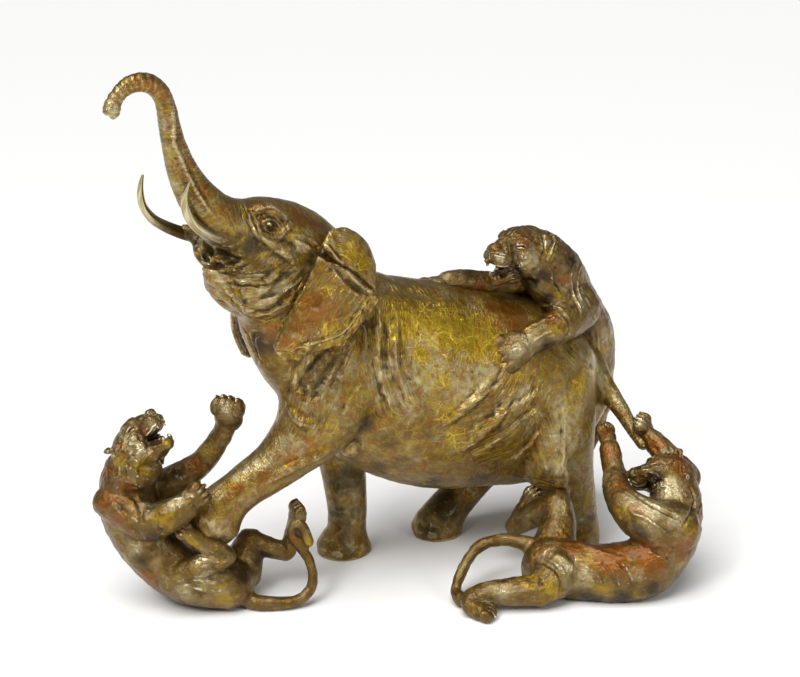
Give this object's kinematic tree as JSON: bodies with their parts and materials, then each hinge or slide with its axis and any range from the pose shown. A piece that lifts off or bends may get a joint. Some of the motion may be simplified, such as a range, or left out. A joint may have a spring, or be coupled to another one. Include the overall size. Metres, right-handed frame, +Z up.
{
  "type": "bronze elephant and lionesses sculpture",
  "caption": "Table-top cast bronze group: a charging elephant with raised trunk and tusks, set upon by lionesses, in a marbled green, yellow and red patina.",
  "frame": {"origin": "centre of the group's box, on the surface that it stands on", "axes": "+X from the elephant's head towards its tail side, along the group's length; +Y away from the side that faces the viewer; +Z up"},
  "size_m": [0.6054, 0.375, 0.551],
  "materials": {
    "marbled_bronze": "marbled olive, yellow and rust-red patina, waxed to a satin sheen",
    "tusk_bronze": "rubbed pale gold, polished at the tips",
    "brown_bronze": "dark brown patina with rubbed golden edges, waxed to a satin sheen"
  },
  "bodies": {
    "root": {"elephant": "marbled_bronze", "left_tusk": "tusk_bronze", "right_tusk": "tusk_bronze", "lioness_under_foot": "brown_bronze", "lioness_on_back": "brown_bronze", "lioness_at_tail": "brown_bronze"}
  },
  "joints": []
}
